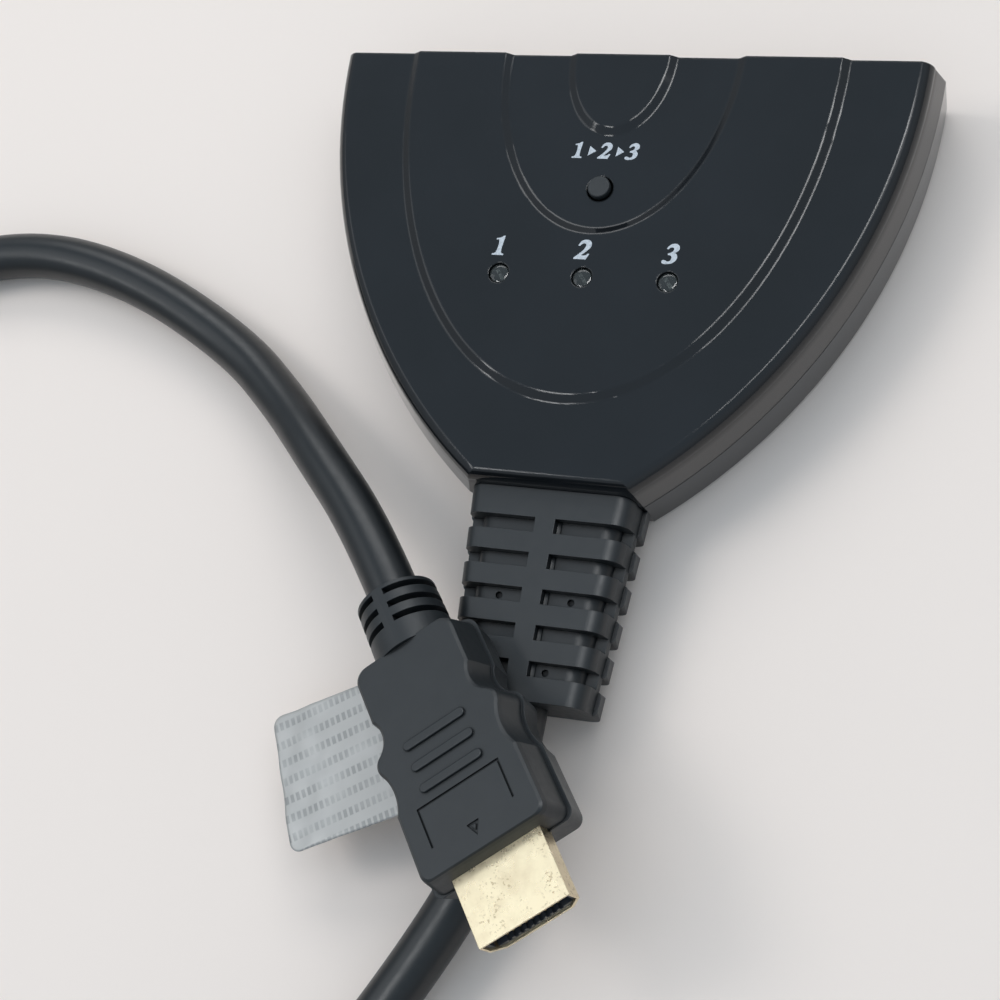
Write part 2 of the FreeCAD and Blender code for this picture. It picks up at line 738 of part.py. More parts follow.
def make_strain_relief():
    """Ringed grip, with a neck through the front wall and a flange inside it."""
    grip = relief_grip().cut(housing_form(-seat_gap))
    neck_start = front_y - neck_root
    neck_length = flange_start + inner_flange[2] / 2 - neck_start
    neck = box(neck_size[0], neck_length, neck_size[1], 0, neck_start + neck_length / 2,
               relief_axis_height - neck_size[1] / 2)
    flange_width, flange_height, flange_depth = inner_flange
    flange = box(flange_width, flange_depth, flange_height, 0, flange_start + flange_depth / 2,
                 relief_axis_height - flange_height / 2)
    body = fuse_all([grip, neck, flange])
    cuts = [rod(cord_diameter, jacket_end_y - relief_end_y + 2 * past, relief_end_y - past, relief_axis_height)]
    spans = ring_spans()
    hole_depth = slot_depth + pin_hole_depth
    hole_low = relief_axis_height + relief_half_height - hole_depth
    for count, offset in zip(pin_ring_counts, pin_offsets):
        middle = (spans[count - 1][1] + spans[count][0]) / 2
        for side in (-1, 1):
            cuts.append(cylinder(pin_hole, hole_depth, side * offset, middle, hole_low))
    return body.cut(Part.makeCompound(cuts))


def make_jacket_end():
    """The lead's jacket from inside the housing to the strain relief's end."""
    return rod(cord_diameter, jacket_end_y - relief_end_y, relief_end_y, relief_axis_height)


def make_inner_wires():
    """Cores that fan out from the upper half of the jacket's end to pads on the board."""
    wires = []
    for n in range(wire_count):
        angle = math.pi * (1 - n / (wire_count - 1))
        start = Vec(wire_circle * math.cos(angle), jacket_end_y + wire_gap,
                    relief_axis_height + wire_circle * math.sin(angle))
        end_x = (n - (wire_count - 1) / 2) * wire_pad_pitch
        bend = Vec(end_x, jacket_end_y + wire_slope, board_top + wire_diameter / 2 + wire_lift)
        first = bend.sub(start)
        slope = Part.makeCylinder(wire_diameter / 2, first.Length, start, first)
        joint = Part.makeSphere(wire_diameter / 2, bend)
        tail = Part.makeCylinder(wire_diameter / 2, wire_tail, bend, Vec(0, 1, 0))
        wires.append(fuse_all([slope, joint, tail]))
    return Part.makeCompound(wires)


def plug_placement():
    """Placement that turns the plug's own frame, nose towards minus Y, into its lie on the lead."""
    turn = FreeCAD.Rotation(Vec(0, 0, 1), plug_yaw)
    pitch = FreeCAD.Rotation(Vec(1, 0, 0), -plug_pitch)
    roll = FreeCAD.Rotation(Vec(0, 1, 0), -plug_roll)
    return FreeCAD.Placement(Vec(*plug_nose), turn.multiply(pitch).multiply(roll))


def plug_side(side, inset, z):
    """Edges of one cheek of the grip in plan, nose to tail, with its two finger dips."""
    def at(half_width, behind):
        return Vec(side * (half_width - inset), behind, z)

    def rounded(start, middle, end):
        return Part.Arc(start, middle, end).toShape()

    front = face_lean * inset
    back = plug_length - face_lean * inset
    nose_sag = nose_round * (1 - math.sqrt(0.5))
    nose = at(nose_half_width - nose_round, front)
    nose_middle = at(nose_half_width - nose_sag, front + nose_sag)
    cheek_start = at(nose_half_width, front + nose_round)
    cheek_end = at(cheek_half_width, nose_length)
    dip = at(dip_half_width, nose_length + dip_length / 2)
    hip_y = nose_length + dip_length
    hip_start, hip, hip_end = (at(hip_half_widths[n], hip_y + n * hip_length / 2) for n in range(3))
    waist_y = hip_y + hip_length
    waist = at(waist_half_width, waist_y + waist_middle * waist_length)
    tail_start = at(tail_half_width, waist_y + waist_length)
    tail_sag = tail_round * (1 - math.sqrt(0.5))
    tail_end = at(tail_half_width, back - tail_round)
    tail_middle = at(tail_half_width - tail_sag, back - tail_sag)
    tail = at(tail_half_width - tail_round, back)
    edges = [rounded(nose, nose_middle, cheek_start), Part.makeLine(cheek_start, cheek_end)]
    edges += [rounded(cheek_end, dip, hip_start), rounded(hip_start, hip, hip_end)]
    edges += [rounded(hip_end, waist, tail_start), Part.makeLine(tail_start, tail_end)]
    edges.append(rounded(tail_end, tail_middle, tail))
    return edges, nose, tail


def plug_plan(inset, z):
    """Closed plan of the grip at one height, drawn in by inset."""
    right, right_nose, right_tail = plug_side(1, inset, z)
    left, left_nose, left_tail = plug_side(-1, inset, z)
    back = Part.makeLine(right_tail, left_tail)
    front = Part.makeLine(left_nose, right_nose)
    return Part.Wire(right + [back] + list(reversed(left)) + [front])


def grip_half(levels):
    return Part.makeLoft([plug_plan(inset, share * plug_half_height) for share, inset in levels], True, True)


def plug_collar():
    """Ribbed collar round the lead, its slots stopping at a spine above and below."""
    length = collar_length + collar_overlap
    near, far = (diameter / 2 for diameter in collar_diameters)
    collar = Part.makeCone(near, far, length, Vec(0, plug_length - collar_overlap, 0), Vec(0, 1, 0))
    slots = []
    for n in range(collar_slot_count):
        y = plug_end - first_collar_slot - n * collar_slot_pitch - collar_slot / 2
        ring = rod(2 * collar_diameters[0], collar_slot, y)
        slots.append(ring.cut(rod(cord_diameter + 2 * collar_skin, collar_slot, y)))
    spine = box(collar_spine, 2 * length, 2 * collar_diameters[0], 0, plug_length, -collar_diameters[0])
    return collar.cut(Part.makeCompound(slots).cut(spine))


def raised_bars():
    """Round-ended bars across the grip's top."""
    long_way, width, height = bar_size
    root = plug_half_height - height
    bars = []
    for n in range(bar_count):
        y = nose_length + bar_start + n * bar_pitch
        ends = [cylinder(width, 2 * height, side * long_way / 2, y, root) for side in (-1, 1)]
        bar = fuse_all([box(long_way, width, 2 * height, 0, y, root)] + ends)
        bars.append(bar.makeFillet(bar_edge, top_edges(bar)))
    return bars


def pointer_prism(share, low):
    """Triangle that points to the nose, shrunk about its middle."""
    half = share * pointer_size[0] / 2
    length = pointer_size[1]
    middle = pointer_tip + 2 * length / 3
    base_y = middle + share * length / 3
    tip_y = middle - 2 * share * length / 3
    corners = [Vec(-half, base_y, low), Vec(half, base_y, low), Vec(0, tip_y, low)]
    return polygon_face(corners).extrude(Vec(0, 0, past))


def panel_grooves():
    """Engraved outline of a panel, open towards the nose, and an outlined triangle before it."""
    width, depth = groove_size
    low = plug_half_height - depth
    near, far = panel_reach
    cuts = [box(2 * panel_half_width + width, width, past, 0, far, low)]
    for side in (-1, 1):
        cuts.append(box(width, far - near, past, side * panel_half_width, (near + far) / 2, low))
    return cuts + [pointer_prism(1.0, low).cut(pointer_prism(pointer_inner, low))]


def make_plug_moulding():
    """Moulded grip with finger dips, raised bars, an outlined panel and a ribbed collar."""
    body = fuse_all([grip_half(lower_levels), grip_half(upper_levels), plug_collar()] + raised_bars())
    width, height = plug_shell_size
    room = connector_prism(width, height, 0, plug_shell_hidden, plug_shell_hidden + past)
    bore = rod(cord_diameter, plug_end, plug_jacket_start)
    mould_width, _, mould_height = (size + 2 * mould_room for size in inner_mould_size)
    chamber_length = plug_jacket_start - plug_shell_hidden
    chamber = box(mould_width, chamber_length, mould_height, 0, plug_shell_hidden + chamber_length / 2,
                  -mould_height / 2)
    return body.cut(Part.makeCompound([room, bore, chamber] + panel_grooves()))


def comb_notches(front_y, slot_height):
    """Notches in both walls of the plug's slot, one over each contact."""
    width, depth, length = comb_notch
    notches = []
    for count, way in ((upper_contact_count, 1), (lower_contact_count, -1)):
        middle_z = way * (slot_height + depth - bite) / 2
        for n in range(count):
            x = (n - (count - 1) / 2) * contact_pitch
            low = middle_z - (depth + bite) / 2
            notches.append(box(width, 2 * length, depth + bite, x, front_y, low))
    return notches


def make_plug_inside():
    """Shell, insulator, contacts, inner mould, jacket end and cores of the plug, in its own frame."""
    width, height = plug_shell_size
    full = plug_shell_reach + plug_shell_hidden
    mouth = -plug_shell_reach
    outer = connector_prism(width, height, 0, plug_shell_hidden, full)
    inner = connector_prism(width, height, plug_shell_metal, plug_shell_hidden + past, full + 2 * past)
    block = connector_prism(width, height, plug_shell_metal + insulator_play, plug_shell_hidden,
                            full - insulator_recess)
    slot_height = tongue_size[1] + 2 * contact_size[1] + plug_slot_play
    slot_width = tongue_size[0] + 2 * plug_slot_play
    slot = box(slot_width, plug_slot_length, slot_height, 0, mouth + plug_slot_length / 2, -slot_height / 2)
    contact_y = mouth + insulator_recess + contact_start + contact_size[2] / 2
    contacts = contact_strips(0, contact_y, slot_height, 0, False)
    mould_length = inner_mould_size[1]
    inner_mould = box(*inner_mould_size, 0, plug_shell_hidden + mould_length / 2, -inner_mould_size[2] / 2)
    jacket = rod(cord_diameter, plug_end - plug_jacket_start, plug_jacket_start)
    cores = []
    for n in range(wire_count):
        x = (n - (wire_count - 1) / 2) * plug_wire_pitch
        row = 1 if n % 2 else -1
        start = Vec(x, plug_shell_hidden + mould_length + plug_wire_gap, row * plug_wire_rise[0])
        end = Vec(x / 2, plug_jacket_start - plug_wire_gap, row * plug_wire_rise[1])
        span = end.sub(start)
        cores.append(Part.makeCylinder(plug_wire_diameter / 2, span.Length, start, span))
    room = Part.makeCompound([slot] + comb_notches(mouth + insulator_recess, slot_height))
    return outer.cut(inner), block.cut(room), contacts, inner_mould, jacket, Part.makeCompound(cores)


def make_seal():
    """Thin film stuck under the plug, its free half showing beside the grip."""
    width, length = seal_size
    film = box(length, width, seal_thickness, 0, 0, -plug_half_height - seal_thickness - seal_lift)
    film = film.makeFillet(seal_corner, upright_edges(film, seal_thickness / 2))
    film.rotate(Vec(0, 0, 0), Vec(0, 0, 1), seal_turn)
    film.translate(Vec(*seal_middle, 0))
    return film


# Corners of the free lead's route, from the strain relief round to the plug; it lies on the table between
cord_rest = 3.7
cord_first_run = 16.9        # straight out of the strain relief
cord_route = (
    (0.0, relief_end_y, relief_axis_height), (0.0, relief_end_y - cord_first_run, relief_axis_height),
    (-8.2, -84.0, 5.4), (-27.0, -116.0, cord_rest), (-62.0, -134.0, cord_rest), (-102.0, -130.0, cord_rest),
    (-134.0, -104.0, cord_rest), (-149.0, -66.0, cord_rest), (-147.5, -30.0, cord_rest),
    (-137.0, -6.0, cord_rest), (-118.0, 11.2, cord_rest), (-98.5, 16.9, cord_rest),
    (-78.5, 13.3, cord_rest), (-57.2, 2.7, cord_rest), (-45.8, -6.8, 6.2), (-37.4, -14.7, 9.9),
)
cord_straight = 13.0         # straight run behind the plug's collar
run_share = 0.45             # share of the shorter run that an arc takes


def cord_points():
    """Route with its last point on the plug's collar, square to it."""
    place = plug_placement()
    end = place.multVec(Vec(0, plug_end, 0))
    before = place.multVec(Vec(0, plug_end + cord_straight, 0))
    return [Vec(*point) for point in cord_route] + [before, end]


def cord_tube(points):
    """Tube along straight runs joined by tangent arcs as large as the runs allow."""
    edges = []
    radii = []
    start = points[0]
    for before, corner, after in zip(points, points[1:], points[2:]):
        arriving = corner.sub(before)
        leaving = after.sub(corner)
        turn = arriving.getAngle(leaving)
        cut = run_share * min(arriving.Length, leaving.Length)
        radius = cut / math.tan(turn / 2)
        radii.append(radius)
        towards = Vec(arriving).normalize()
        away = Vec(leaving).normalize()
        first = corner.sub(towards * cut)
        last = corner.add(away * cut)
        inward = Vec(away.sub(towards)).normalize()
        depth = radius / math.cos(turn / 2) - radius
        middle = corner.add(inward * depth)
        edges.append(Part.LineSegment(start, first).toShape())
        edges.append(Part.Arc(first, middle, last).toShape())
        start = last
    edges.append(Part.LineSegment(start, points[-1]).toShape())
    path = Part.Wire(edges)
    section = Part.Wire(Part.makeCircle(cord_diameter / 2, points[0], points[1].sub(points[0])))
    tube = path.makePipeShell([section], True, False)
    area = math.pi * cord_diameter ** 2 / 4
    print("cord radii", " ".join(f"{radius:.0f}" for radius in radii))
    fullness = tube.Volume / (area * path.Length)
    print(f"cord length {path.Length:.1f}, volume over section times length {fullness:.4f}")
    return tube


def moved(shape, place):
    """A copy of the shape, carried from the plug's own frame to its place."""
    copy = shape.copy()
    copy.Placement = place.multiply(copy.Placement)
    return copy


def save_housing():
    """Covers, board, screws, and the small parts on the board."""
    save("top_cover", make_top_cover())
    save("bottom_cover", make_bottom_cover())
    save("main_board", make_board())
    save("housing_screws", Part.makeCompound([make_screw(x, y) for x, y in screw_points()]))
    chip, leads = make_switch_chip()
    save("switch_chip", chip)
    save("switch_chip_leads", leads)
    save("control_chip", make_control_chip())
    save("crystal_can", make_crystal())
    save("capacitors", make_capacitors())
    save("resistors", make_resistors())


def save_sockets():
    """Shell, insulator and contacts of each socket."""
    contact_y = from_back(socket_recess + tongue_recess + contact_start + contact_size[2] / 2)
    for number, x in enumerate(socket_places(), start=1):
        save(f"socket_shell_{number}", socket_shell(x))
        save(f"socket_insulator_{number}", socket_insulator(x))
        save(f"socket_contacts_{number}", contact_strips(x, contact_y, tongue_size[1], split_height, True))


def save_controls():
    """Tact switch, button and lamps."""
    body, plate, legs, plunger = make_tact_switch()
    save("tact_switch_body", body)
    save("tact_switch_plate", plate)
    save("tact_switch_legs", legs)
    save("tact_plunger", plunger)
    save("select_button", make_button())
    lamp_legs = []
    for number, x in enumerate(lamp_places, start=1):
        lamp, legs = make_lamp(x)
        lamp_legs += legs
        save(f"lamp_{number}", lamp)
    save("lamp_legs", Part.makeCompound(lamp_legs))


def save_lead():
    """Strain relief, lead, and the plug with what is in it."""
    save("strain_relief", make_strain_relief())
    save("jacket_end", make_jacket_end())
    save("inner_wires", make_inner_wires())
    save("pigtail_cord", cord_tube(cord_points()))
    place = plug_placement()
    names = ("plug_shell", "plug_insulator", "plug_contacts")
    names += ("plug_inner_mould", "plug_jacket_end", "plug_wires")
    for name, shape in zip(names, make_plug_inside()):
        save(name, moved(shape, place))
    save("plug_moulding", moved(make_plug_moulding(), place))
    save("seal_label", moved(make_seal(), place))


os.makedirs("parts", exist_ok=True)
save_housing()
save_sockets()
save_controls()
save_lead()
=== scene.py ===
"""Looks of the video switch: finishes, printing, the free lead, the seal and a plain studio."""

import math

import bpy
from mathutils import Euler, Matrix, Vector


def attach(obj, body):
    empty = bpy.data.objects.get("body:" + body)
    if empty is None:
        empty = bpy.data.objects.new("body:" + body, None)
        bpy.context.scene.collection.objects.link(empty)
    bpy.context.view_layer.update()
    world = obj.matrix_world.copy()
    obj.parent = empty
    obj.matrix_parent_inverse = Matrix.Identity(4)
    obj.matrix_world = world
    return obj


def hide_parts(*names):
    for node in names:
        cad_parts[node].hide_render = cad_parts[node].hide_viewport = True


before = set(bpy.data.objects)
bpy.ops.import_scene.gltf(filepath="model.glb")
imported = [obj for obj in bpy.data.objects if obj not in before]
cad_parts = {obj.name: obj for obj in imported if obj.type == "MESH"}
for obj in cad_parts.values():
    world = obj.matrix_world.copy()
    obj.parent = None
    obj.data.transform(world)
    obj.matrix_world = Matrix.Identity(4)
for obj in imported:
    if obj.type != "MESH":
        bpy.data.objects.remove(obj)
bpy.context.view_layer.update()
mm = 0.001

# Camera of the photograph, in millimetres and degrees
camera_place = (88.11, -90.20, 264.60)
camera_angles = (18.198, 17.533, 11.088)
camera_lens = 72.02
camera_sensor = 36.0

# Sizes and turns that the model was built from, in millimetres and degrees
total_length = 95.3
back_y = total_length / 2
relief_end_y = -total_length / 2
relief_axis_height = 6.8
low_face = 14.6
split_height = 8.9           # where the two covers meet
band_face = 15.36
lamp_back = 35.1
lamp_pitch = 12.5
lamp_top = 15.21
cord_diameter = 7.3
plug_nose = (6.3, -69.6, 20.9)
plug_yaw = 36.3
plug_pitch = 8.1
plug_roll = 9.2
plug_half_height = 5.2
collar_end = 41.2            # behind the plug's nose
seal_size = (23.5, 20.3)
seal_middle = (-17.6, 27.4)
seal_turn = -13.0
seal_corner = 1.6

# The free lead: its length in metres, and its route in millimetres
cord_first_run = 16.9
cord_last_run = 13.0
cord_rest = 3.7
cord_route = (
    (0.0, relief_end_y, relief_axis_height), (0.0, relief_end_y - cord_first_run, relief_axis_height),
    (-8.2, -84.0, 5.4), (-27.0, -116.0, cord_rest), (-62.0, -134.0, cord_rest), (-102.0, -130.0, cord_rest),
    (-134.0, -104.0, cord_rest), (-149.0, -66.0, cord_rest), (-147.5, -30.0, cord_rest),
    (-137.0, -6.0, cord_rest), (-118.0, 11.2, cord_rest), (-98.5, 16.9, cord_rest),
    (-78.5, 13.3, cord_rest), (-57.2, 2.7, cord_rest), (-45.8, -6.8, 6.2), (-37.4, -14.7, 9.9),
)

# Light: the room's colour at shares of the height, then lights as name, place and size in metres, and power
floor_colour = (0.91, 0.80, 0.72)
floor_reach = 3.0            # from the middle to each side, in metres
floor_drop = 0.05            # under the table plane, in millimetres
room_colours = ((0.05, (0.30, 0.32, 0.34)), (0.45, (0.50, 0.56, 0.62)), (0.85, (0.46, 0.56, 0.66)))
soft_lights = (
    ("window", (-0.18, 1.35, 1.05), (1.5, 0.6), 8.0),
    ("left_light", (-1.30, 0.12, 1.25), (0.9, 0.9), 2.1),
    ("right_light", (0.62, 0.45, 1.20), (0.5, 0.7), 1.0),
)
# Lights without a mirror image on gloss, and lights that only glossy edges catch
high_lights = (
    ("high_window", (-0.75, 0.60, 1.55), (0.5, 0.5), 1.5),
    ("left_fill", (-0.85, 0.05, 0.95), (0.4, 0.4), 2.8),
)
edge_lights = (
    ("right_edge", (0.36, 0.34, 1.20), (0.26, 0.85), 7.0),
    ("front_edge", (-0.42, -0.32, 1.20), (0.50, 0.16), 3.0),
    ("left_edge", (-1.10, -0.42, 1.00), (0.20, 0.30), 1.5),
)


def plug_matrix():
    """Placement of the plug's own frame, its nose towards minus Y, in metres."""
    turn = Matrix.Rotation(math.radians(plug_yaw), 4, "Z")
    pitch = Matrix.Rotation(math.radians(-plug_pitch), 4, "X")
    roll = Matrix.Rotation(math.radians(-plug_roll), 4, "Y")
    return Matrix.Translation(Vector(plug_nose) * mm) @ turn @ pitch @ roll


class Finish:
    """A procedural material on the Principled shader, with helpers for its colour, roughness and grain."""

    def __init__(self, name, colour, roughness, metallic=0.0):
        self.material = bpy.data.materials.new(name)
        self.material.use_nodes = True
        self.nodes = self.material.node_tree.nodes
        self.links = self.material.node_tree.links
        self.shader = self.nodes["Principled BSDF"]
        self.shader.inputs["Base Color"].default_value = (*colour, 1.0)
        self.shader.inputs["Roughness"].default_value = roughness
        self.shader.inputs["Metallic"].default_value = metallic
        self.place = self.nodes.new("ShaderNodeTexCoord").outputs["Object"]
        self.relief = None

    def noise(self, per_mm, detail=3.0, rough=0.5):
        """A noise of this many cells a millimetre."""
        node = self.nodes.new("ShaderNodeTexNoise")
        node.inputs["Scale"].default_value = per_mm / mm
        node.inputs["Detail"].default_value = detail
        node.inputs["Roughness"].default_value = rough
        self.links.new(self.place, node.inputs["Vector"])
        return node.outputs["Fac"]

    def ramp(self, value, stops):
        """Colours at shares of the value."""
        node = self.nodes.new("ShaderNodeValToRGB")
        while len(node.color_ramp.elements) < len(stops):
            node.color_ramp.elements.new(0.5)
        for element, (share, colour) in zip(node.color_ramp.elements, stops):
            element.position = share
            element.color = (*colour, 1.0)
        self.links.new(value, node.inputs["Fac"])
        return node.outputs["Color"]

    def range(self, value, low, high, from_low=0.0, from_high=1.0):
        """The value brought from one range to another, and held to its ends."""
        node = self.nodes.new("ShaderNodeMapRange")
        node.inputs["From Min"].default_value = from_low
        node.inputs["From Max"].default_value = from_high
        node.inputs["To Min"].default_value = low
        node.inputs["To Max"].default_value = high
        self.links.new(value, node.inputs["Value"])
        return node.outputs["Result"]

    def colour(self, value, stops):
        """Colours the finish at shares of the value."""
        self.links.new(self.ramp(value, stops), self.shader.inputs["Base Color"])

    def rough(self, value, low, high, from_low=0.3, from_high=0.7):
        """Lets the roughness follow the value."""
        self.links.new(self.range(value, low, high, from_low, from_high), self.shader.inputs["Roughness"])

    def rounded(self, radius):
        """Shades sharp edges as if they were rounded by this radius in millimetres."""
        node = self.nodes.new("ShaderNodeBevel")
        node.samples = 6
        node.inputs["Radius"].default_value = radius * mm
        self.relief = node.outputs["Normal"]
        self.links.new(self.relief, self.shader.inputs["Normal"])

    def level(self):
        """Height above the table, in metres."""
        split = self.nodes.new("ShaderNodeSeparateXYZ")
        self.links.new(self.place, split.inputs["Vector"])
        return split.outputs["Z"]

    def seam(self, height, core, reach):
        """A fine dark joint line at this height, black in its core and faded out at its reach."""
        away = self.nodes.new("ShaderNodeMath")
        away.operation = "SUBTRACT"
        self.links.new(self.level(), away.inputs[0])
        away.inputs[1].default_value = height * mm
        size = self.nodes.new("ShaderNodeMath")
        size.operation = "ABSOLUTE"
        self.links.new(away.outputs[0], size.inputs[0])
        clear = self.range(size.outputs[0], 0.02, 0.5, core * mm, reach * mm)
        self.links.new(clear, self.shader.inputs["Specular IOR Level"])

    def paint_cavity_shade(self, reach, least):
        """Paints shade into the base colour, and lowers the specular, in grooves and corners narrower than
        reach in millimetres, from ambient occlusion.
        """
        shade = self.nodes.new("ShaderNodeAmbientOcclusion")
        shade.samples = 6
        shade.inputs["Distance"].default_value = reach * mm
        # painted shade: the base colour multiplied by a grey that darkens where ambient occlusion is high
        cavity_shade_mix = self.nodes.new("ShaderNodeMix")
        cavity_shade_mix.data_type = "RGBA"
        cavity_shade_mix.blend_type = "MULTIPLY"
        cavity_shade_mix.inputs["Factor"].default_value = 1.0
        self.links.new(self.shader.inputs["Base Color"].links[0].from_socket, cavity_shade_mix.inputs["A"])
        grey = self.ramp(shade.outputs["AO"], ((0.35, (least, least, least)), (0.85, (1.0, 1.0, 1.0))))
        self.links.new(grey, cavity_shade_mix.inputs["B"])
        self.links.new(cavity_shade_mix.outputs["Result"], self.shader.inputs["Base Color"])
        self.links.new(self.range(shade.outputs["AO"], 0.1, 0.5, 0.35, 0.85),
                       self.shader.inputs["Specular IOR Level"])

    def bump(self, value, depth):
        """Adds relief of this depth in millimetres on top of the relief that is there."""
        node = self.nodes.new("ShaderNodeBump")
        node.inputs["Distance"].default_value = depth * mm
        node.inputs["Strength"].default_value = 1.0
        self.links.new(value, node.inputs["Height"])
        if self.relief is not None:
            self.links.new(self.relief, node.inputs["Normal"])
        self.relief = node.outputs["Normal"]
        self.links.new(self.relief, self.shader.inputs["Normal"])


skin_fade = (11.4, 12.9)     # heights between which the clear skin on the sides fades out


def gloss_black(name, polished_sides=False):
    """Glossy black of the covers, with a dark joint line and, where asked, a clear skin on the sides."""
    finish = Finish(name, (0.008, 0.0095, 0.012), 0.10)
    finish.colour(finish.noise(0.05), ((0.3, (0.006, 0.0070, 0.0080)), (0.7, (0.009, 0.0105, 0.0125))))
    finish.rough(finish.noise(0.25, 5.0), 0.07, 0.13)
    finish.rounded(0.32)
    finish.seam(split_height, 0.08, 0.26)
    if polished_sides:
        skin = finish.range(finish.level(), 1.0, 0.0, skin_fade[0] * mm, skin_fade[1] * mm)
        finish.links.new(skin, finish.shader.inputs["Coat Weight"])
        finish.shader.inputs["Coat Roughness"].default_value = 0.12
    finish.bump(finish.noise(0.12, 2.0), 0.012)
    finish.bump(finish.noise(5.0, 3.0), 0.0005)
    return finish.material


def soft_moulding(name, level, roughness, grain):
    """Satin plastic of the strain relief, the plug and the lead."""
    dark = tuple(level * part for part in (0.70, 1.00, 1.20))
    light = tuple(1.25 * level * part for part in (0.74, 1.00, 1.16))
    finish = Finish(name, dark, roughness)
    finish.colour(finish.noise(0.3, 4.0), ((0.3, dark), (0.72, light)))
    finish.rough(finish.noise(0.9, 4.0), roughness - 0.03, roughness + 0.04)
    # painted shade in the grooves and corners of the moulding, in its colour and specular
    finish.paint_cavity_shade(0.7, 0.25)
    finish.rounded(0.14)
    finish.bump(finish.noise(0.6, 4.0), 0.016)
    finish.bump(finish.noise(5.0, 3.0), grain)
    return finish.material


def plated(name, colour, tarnish, roughness):
    """Plated sheet metal with faint stains."""
    finish = Finish(name, colour, roughness, metallic=1.0)
    finish.colour(finish.noise(0.35, 6.0, 0.6), ((0.35, colour), (0.75, tarnish)))
    finish.rough(finish.noise(0.8, 5.0), roughness - 0.05, roughness + 0.12)
    finish.rounded(0.06)
    finish.bump(finish.noise(1.1, 4.0), 0.004)
    return finish.material


def worn_gilt():
    """Pale gilt shell with cloudy stains and clusters of fine brown specks."""
    bright, cloudy, speck = (0.76, 0.66, 0.46), (0.64, 0.54, 0.37), (0.32, 0.24, 0.14)
    finish = Finish("pale_gilt", bright, 0.28, metallic=1.0)
    clouds = finish.ramp(finish.noise(0.30, 6.0, 0.62), ((0.42, bright), (0.72, cloudy)))
    specks = finish.range(finish.noise(2.2, 5.0, 0.6), 0.0, 1.0, 0.565, 0.62)
    patches = finish.range(finish.noise(0.22, 3.0, 0.6), 0.0, 0.62, 0.47, 0.58)
    both = finish.nodes.new("ShaderNodeMath")
    both.operation = "MULTIPLY"
    finish.links.new(specks, both.inputs[0])
    finish.links.new(patches, both.inputs[1])
    mix = finish.nodes.new("ShaderNodeMix")
    mix.data_type = "RGBA"
    finish.links.new(both.outputs[0], mix.inputs["Factor"])
    finish.links.new(clouds, mix.inputs["A"])
    mix.inputs["B"].default_value = (*speck, 1.0)
    finish.links.new(mix.outputs["Result"], finish.shader.inputs["Base Color"])
    finish.rough(finish.noise(0.7, 5.0), 0.24, 0.36)
    finish.rounded(0.12)
    finish.bump(finish.noise(0.5, 3.0), 0.006)
    finish.bump(both.outputs[0], -0.006)
    return finish.material


def plain(name, dark, light, roughness, per_mm=0.8, grain=0.004):
    """Mottled plastic, board or ceramic."""
    finish = Finish(name, dark, roughness)
    finish.colour(finish.noise(per_mm, 4.0), ((0.35, dark), (0.7, light)))
    finish.rough(finish.noise(2 * per_mm), roughness - 0.05, roughness + 0.06)
    finish.bump(finish.noise(5 * per_mm), grain)
    return finish.material


def clear_lens():
    """Clear plastic of the lamps, a little smoky."""
    finish = Finish("clear_lens", (0.13, 0.145, 0.14), 0.06)
    finish.shader.inputs["Transmission Weight"].default_value = 0.80
    finish.shader.inputs["IOR"].default_value = 1.5
    finish.rough(finish.noise(1.2), 0.03, 0.10)
    finish.bump(finish.noise(0.9, 2.0), 0.01)
    return finish.material


def seal_film():
    """Silvery film with slanted rows of faint dashes, worn in places."""
    silver, printed_grey, pale = (0.44, 0.43, 0.41), (0.28, 0.28, 0.27), (0.53, 0.52, 0.50)
    finish = Finish("seal_film", silver, 0.40, metallic=0.2)
    mapping = finish.nodes.new("ShaderNodeMapping")
    mapping.vector_type = "TEXTURE"
    mapping.inputs["Rotation"].default_value = (0.0, 0.0, math.radians(29.0))
    mapping.inputs["Scale"].default_value = (0.235, 1.0, 1.0)
    finish.links.new(finish.place, mapping.inputs["Vector"])
    rows = finish.nodes.new("ShaderNodeTexBrick")
    rows.inputs["Scale"].default_value = 1.0 / mm
    rows.inputs["Brick Width"].default_value = 4.0
    rows.inputs["Row Height"].default_value = 2.7
    rows.inputs["Mortar Size"].default_value = 0.85
    rows.inputs["Mortar Smooth"].default_value = 0.2
    rows.inputs["Color1"].default_value = (*printed_grey, 1.0)
    rows.inputs["Color2"].default_value = (*printed_grey, 1.0)
    rows.inputs["Mortar"].default_value = (*silver, 1.0)
    finish.links.new(mapping.outputs["Vector"], rows.inputs["Vector"])
    worn = finish.range(finish.noise(0.20, 3.0), 0.08, 0.85, 0.42, 0.70)
    mix = finish.nodes.new("ShaderNodeMix")
    mix.data_type = "RGBA"
    finish.links.new(worn, mix.inputs["Factor"])
    finish.links.new(rows.outputs["Color"], mix.inputs["A"])
    clouds = finish.ramp(finish.noise(0.12, 3.0), ((0.35, silver), (0.70, pale)))
    finish.links.new(clouds, mix.inputs["B"])
    finish.links.new(mix.outputs["Result"], finish.shader.inputs["Base Color"])
    finish.rough(finish.noise(0.6), 0.34, 0.50)
    finish.bump(finish.noise(0.30, 4.0, 0.6), 0.05)
    return finish.material


def print_ink():
    """Pale printing on the covers."""
    finish = Finish("print_ink", (0.56, 0.60, 0.64), 0.45)
    finish.colour(finish.noise(3.0, 4.0), ((0.30, (0.42, 0.45, 0.48)), (0.55, (0.57, 0.61, 0.65))))
    finish.bump(finish.noise(6.0), 0.004)
    return finish.material


def dress(names, material):
    """Gives CAD nodes this material."""
    for name in names:
        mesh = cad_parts[name].data
        mesh.materials.clear()
        mesh.materials.append(material)


def numbered(stem):
    """Names of the three nodes with this stem."""
    return [f"{stem}_{n}" for n in (1, 2, 3)]


